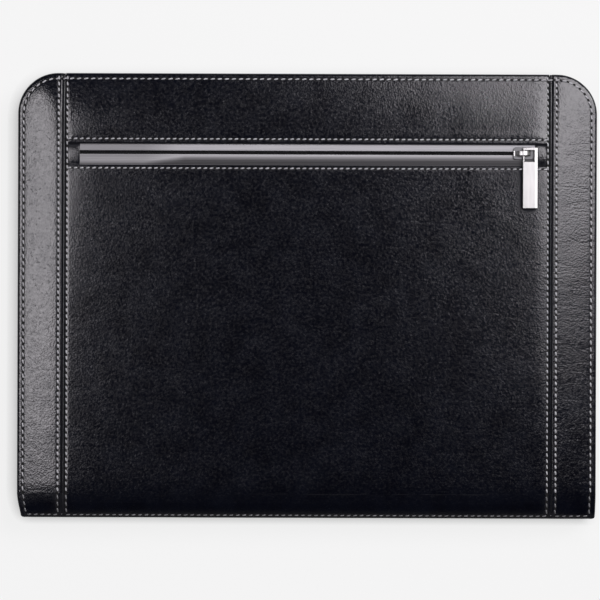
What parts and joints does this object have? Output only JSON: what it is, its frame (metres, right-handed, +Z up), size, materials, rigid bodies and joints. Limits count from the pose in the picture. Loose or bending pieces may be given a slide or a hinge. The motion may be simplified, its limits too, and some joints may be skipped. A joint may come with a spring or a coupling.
{
  "type": "zippered padfolio",
  "caption": "Black leather zip-round padfolio with a zipped front pocket, pale topstitching, a lined inside with paper and card pockets, a pen loop and a writing pad.",
  "frame": {"origin": "middle of the closed case's footprint, on the surface that the back cover lies on", "axes": "+Z up out of the front cover, +Y from the spine to the fore edge, +X along the spine"},
  "size_m": [0.343, 0.264, 0.0327],
  "materials": {
    "leather_black": "smooth, semi-gloss",
    "board_grey": "plain greyboard",
    "lining_cloth": "matte woven lining",
    "pocket_leather": "smooth, semi-matte",
    "foam": "soft padding",
    "bag_cloth": "thin woven cloth",
    "paper": "uncoated",
    "binding": "binding strip",
    "tape_grey": "woven zip tape",
    "tape_black": "woven zip tape",
    "coil": "nylon coil",
    "metal": "bright nickel plate"
  },
  "bodies": {
    "back_cover": {"back_leather": "leather_black", "back_board": "board_grey", "back_lining": "lining_cloth", "pad_pocket_panel": "pocket_leather", "pad_pocket_lips": "pocket_leather", "pad_backing": "board_grey", "pad_sheets": "paper", "pad_binding": "binding", "back_zip_tape": "tape_black", "back_zip_coil": "coil", "back_zip_stops": "metal"},
    "spine": {"front_fold_leather": "leather_black", "back_fold_leather": "leather_black", "spine_leather": "leather_black", "spine_board": "board_grey", "spine_lining": "lining_cloth", "pen_loop": "leather_black"},
    "front_cover": {"front_left_band": "leather_black", "front_right_band": "leather_black", "front_top_strip": "leather_black", "front_centre_panel": "leather_black", "pocket_end_tab_left": "leather_black", "pocket_end_tab_right": "leather_black", "front_foam": "foam", "front_board": "board_grey", "front_lining": "lining_cloth", "pocket_bag": "bag_cloth", "pocket_tape_upper": "tape_grey", "pocket_tape_lower": "tape_grey", "pocket_coil_upper": "coil", "pocket_coil_lower": "coil", "pocket_zip_stops": "metal", "document_pocket_panel": "pocket_leather", "document_pocket_lips": "pocket_leather", "card_slot_1": "pocket_leather", "card_slot_2": "pocket_leather", "card_slot_3": "pocket_leather", "front_zip_tape": "tape_black", "front_zip_coil": "coil", "front_zip_stops": "metal"},
    "pocket_slider": {"pocket_slider": "metal"},
    "pocket_pull": {"pocket_pull": "metal"},
    "main_slider": {"main_slider": "metal"},
    "main_pull": {"main_pull": "metal"}
  },
  "joints": [
    {"name": "spine_fold", "type": "hinge", "parent": "back_cover", "child": "spine", "pos_m": [0, -0.12942, 0.00258], "axis": [1, 0, 0], "range_deg": [0, 90]},
    {"name": "cover_fold", "type": "hinge", "parent": "spine", "child": "front_cover", "pos_m": [0, -0.12942, 0.02742], "axis": [1, 0, 0], "range_deg": [0, 90]},
    {"name": "pocket_slide", "type": "slide", "parent": "front_cover", "child": "pocket_slider", "axis": [-1, 0, 0], "range_m": [0, 0.2553]},
    {"name": "pocket_pull_flip", "type": "hinge", "parent": "pocket_slider", "child": "pocket_pull", "pos_m": [0.12765, 0.08495, 0.0311], "axis": [0, -1, 0], "range_deg": [0, 180]},
    {"name": "main_slide", "type": "slide", "parent": "back_cover", "child": "main_slider", "axis": [0, 1, 0], "range_m": [0, 0.1979]},
    {"name": "main_pull_flip", "type": "hinge", "parent": "main_slider", "child": "main_pull", "pos_m": [0.1695, -0.0977, 0.013], "axis": [0, 0, -1], "range_deg": [0, 165]}
  ],
  "couplings": [
    {"joint": "cover_fold", "follows": "spine_fold", "ratio": 1}
  ]
}
